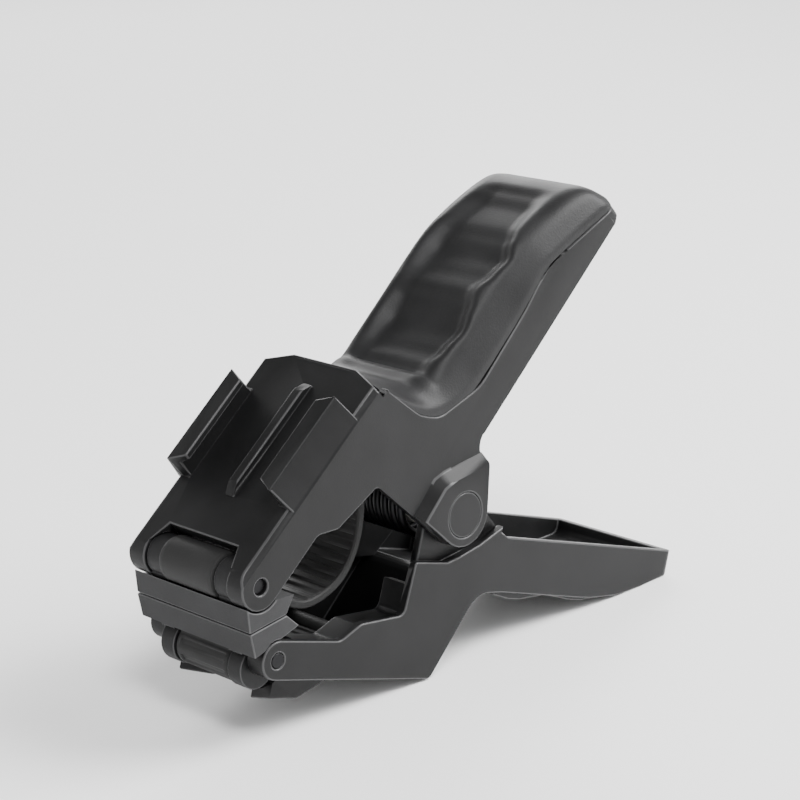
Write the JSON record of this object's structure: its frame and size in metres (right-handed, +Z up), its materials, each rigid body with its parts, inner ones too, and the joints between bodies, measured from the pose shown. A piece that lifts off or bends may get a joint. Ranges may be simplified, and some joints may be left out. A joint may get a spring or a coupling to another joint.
{
  "type": "spring jaw clamp",
  "caption": "Spring-closed jaw clamp with swivelling pads, ribbed bands in its mouth and a slide-on quick-release base on the upper jaw.",
  "frame": {"origin": "centre of the bounding box's footprint, on the surface that the clamp stands on", "axes": "+X towards the handle ends, +Y across the jaws along the pivot, +Z up"},
  "size_m": [0.1812, 0.054, 0.1329],
  "materials": {
    "black_nylon": "moulded black nylon, fine texture",
    "satin_grip": "satin soft-touch black",
    "carrier_nylon": "moulded black nylon",
    "pad_rubber": "matt dark grey rubber",
    "band_rubber": "matt ribbed black rubber",
    "black_steel": "blackened steel",
    "steel": "plain steel",
    "natural_nylon": "unfilled nylon"
  },
  "bodies": {
    "lower_lever": {"lower_jaw": "black_nylon", "lower_grip": "satin_grip", "lower_grip_screw_front": "steel", "lower_grip_screw_rear": "steel", "lower_tip_pin": "black_steel", "lower_band_rod": "steel", "lower_band": "band_rubber", "pivot_pin": "steel", "pivot_washer_near": "natural_nylon", "pivot_washer_far": "natural_nylon", "spring_sleeve": "natural_nylon", "torsion_spring": "black_steel"},
    "upper_lever": {"upper_jaw": "black_nylon", "upper_grip": "satin_grip", "upper_grip_screw_low": "steel", "upper_grip_screw_high": "steel", "upper_tip_pin": "black_steel", "upper_band_rod": "steel", "upper_band": "band_rubber", "pivot_cap_near": "black_nylon", "pivot_cap_far": "black_nylon"},
    "upper_pad_unit": {"upper_pad": "pad_rubber", "upper_pad_carrier": "carrier_nylon"},
    "lower_pad_unit": {"lower_pad": "pad_rubber", "lower_pad_carrier": "carrier_nylon"}
  },
  "joints": [
    {"name": "jaw_open", "type": "hinge", "parent": "lower_lever", "child": "upper_lever", "pos_m": [-0.00761, 0, 0.04772], "axis": [0, 1, 0], "range_deg": [0, 40], "stiffness_Nm_per_rad": 1.2, "springref_deg": -34.38, "deforming": ["torsion_spring"]},
    {"name": "upper_pad_tilt", "type": "hinge", "parent": "upper_lever", "child": "upper_pad_unit", "pos_m": [-0.08386, 0, 0.04775], "axis": [0, 1, 0], "range_deg": [-15, 0]},
    {"name": "lower_pad_tilt", "type": "hinge", "parent": "lower_lever", "child": "lower_pad_unit", "pos_m": [-0.07921, 0, 0.02488], "axis": [0, 1, 0], "range_deg": [0, 25]}
  ],
  "couplings": [
    {"joint": "upper_pad_tilt", "follows": "jaw_open", "ratio": -0.375},
    {"joint": "lower_pad_tilt", "follows": "jaw_open", "ratio": 0.625}
  ]
}
